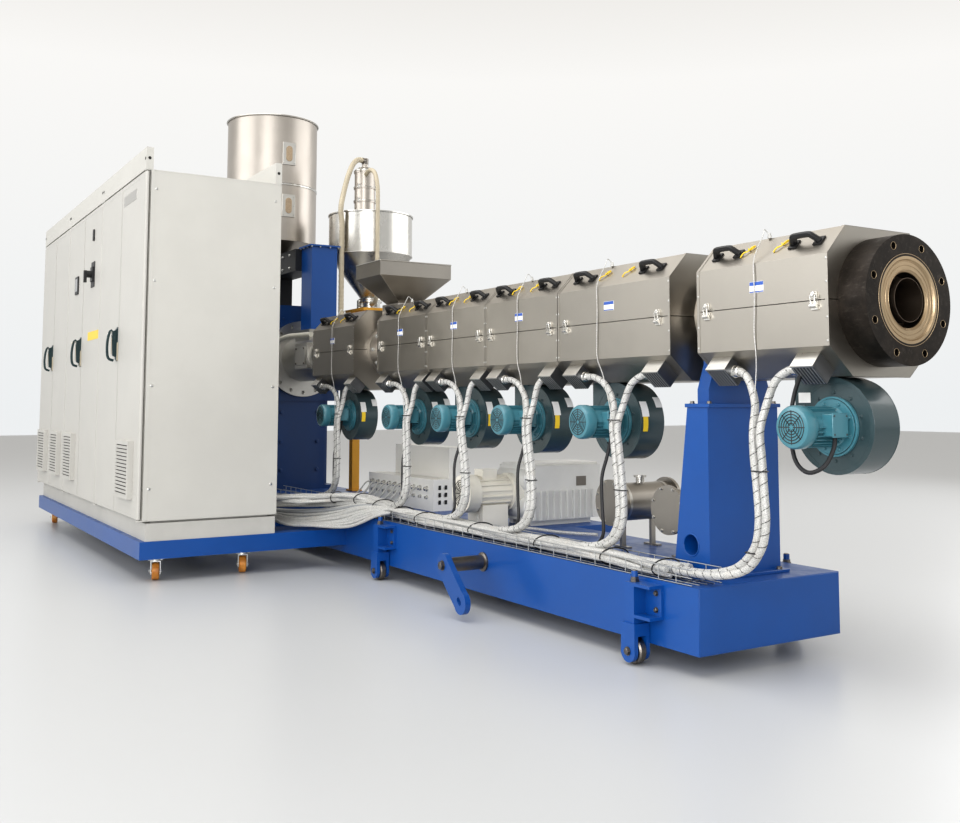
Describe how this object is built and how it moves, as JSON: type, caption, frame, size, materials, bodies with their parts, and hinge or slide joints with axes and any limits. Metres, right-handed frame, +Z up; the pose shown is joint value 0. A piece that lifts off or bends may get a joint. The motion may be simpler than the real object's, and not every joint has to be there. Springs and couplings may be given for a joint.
{
  "type": "twin-screw plastic extruder",
  "caption": "Plastic extruder on a wheeled base with heated barrel, dosing hoppers and a row of door cabinets on a platform beside its drive.",
  "frame": {"origin": "centre of the bounding box at floor level", "axes": "+X along the barrel towards the die flange, +Y from the cabinet doors towards the machine's far side, +Z up"},
  "size_m": [7.349, 2.5049, 3.3269],
  "materials": {
    "blue_paint": "gloss",
    "dark_steel": "oiled",
    "machined_steel": "machined",
    "bronze": "satin",
    "cover_steel": "brushed",
    "box_steel": "satin",
    "blower_paint": "satin",
    "motor_paint": "gloss",
    "white_sleeve": "woven",
    "tray_wire": "galvanised",
    "pump_grey": "satin",
    "cream_paint": "satin",
    "white_paint": "satin",
    "motor_blue": "satin",
    "black_paint": "satin",
    "hopper_steel": "brushed",
    "yellow_paint": "satin",
    "hose_rubber": "matt",
    "zinc": "zinc plated",
    "amber_wheel": "satin",
    "cabinet_grey": "satin",
    "door_grey": "satin",
    "handle_black": "satin"
  },
  "bodies": {
    "machine": {"base_frame": "blue_paint", "jack_brackets": "blue_paint", "jack_wheels": "dark_steel", "tow_lever": "blue_paint", "lever_shaft": "dark_steel", "front_pedestal": "blue_paint", "barrel": "machined_steel", "die_flange": "dark_steel", "centring_ring": "bronze", "heater_cover_1": "cover_steel", "heater_cover_2": "cover_steel", "heater_cover_3": "cover_steel", "heater_cover_4": "cover_steel", "heater_cover_5": "cover_steel", "heater_cover_6": "cover_steel", "terminal_boxes": "box_steel", "blower_housings": "blower_paint", "blower_motors": "motor_paint", "heater_conduits": "white_sleeve", "cable_tray": "tray_wire", "cable_bundle": "white_sleeve", "pump_shelf": "blue_paint", "vacuum_pump": "pump_grey", "pump_motor": "cream_paint", "junction_box": "white_paint", "separator_tanks": "cover_steel", "feed_section": "machined_steel", "gearbox": "blue_paint", "main_motor": "motor_blue", "dosing_column": "blue_paint", "dosing_feeder": "black_paint", "main_hopper": "hopper_steel", "feed_hopper": "hopper_steel", "vacuum_loader": "hopper_steel", "feed_hopper_stand": "yellow_paint", "vent_hopper": "cover_steel", "suction_hose": "hose_rubber", "loader_pipe": "hose_rubber", "platform_frame": "blue_paint", "caster_forks": "zinc", "caster_wheels": "amber_wheel", "cabinet_shell": "cabinet_grey", "cabinet_end_panels": "cabinet_grey", "cabinet_plinth": "cabinet_grey"},
    "door_1": {"door_leaf_1": "door_grey", "door_handle_1": "handle_black"},
    "door_2": {"door_leaf_2": "door_grey"},
    "door_3": {"door_leaf_3": "door_grey", "door_handle_3": "handle_black"},
    "door_4": {"door_leaf_4": "door_grey", "main_switch": "handle_black"},
    "door_5": {"door_leaf_5": "door_grey", "door_handle_5": "handle_black"},
    "door_6": {"door_leaf_6": "door_grey"}
  },
  "joints": [
    {"name": "door_1_hinge", "type": "hinge", "parent": "machine", "child": "door_1", "pos_m": [-3.6605, -1.1795, 1.34], "axis": [0, 0, -1], "range_deg": [0, 120]},
    {"name": "door_2_hinge", "type": "hinge", "parent": "machine", "child": "door_2", "pos_m": [-2.5085, -1.1795, 1.34], "axis": [0, 0, 1], "range_deg": [0, 75]},
    {"name": "door_3_hinge", "type": "hinge", "parent": "machine", "child": "door_3", "pos_m": [-2.4805, -1.1795, 1.34], "axis": [0, 0, -1], "range_deg": [0, 75]},
    {"name": "door_4_hinge", "type": "hinge", "parent": "machine", "child": "door_4", "pos_m": [-1.3285, -1.1795, 1.34], "axis": [0, 0, 1], "range_deg": [0, 75]},
    {"name": "door_5_hinge", "type": "hinge", "parent": "machine", "child": "door_5", "pos_m": [-1.3005, -1.1795, 1.34], "axis": [0, 0, -1], "range_deg": [0, 75]},
    {"name": "door_6_hinge", "type": "hinge", "parent": "machine", "child": "door_6", "pos_m": [-0.1485, -1.1795, 1.34], "axis": [0, 0, 1], "range_deg": [0, 120]}
  ]
}
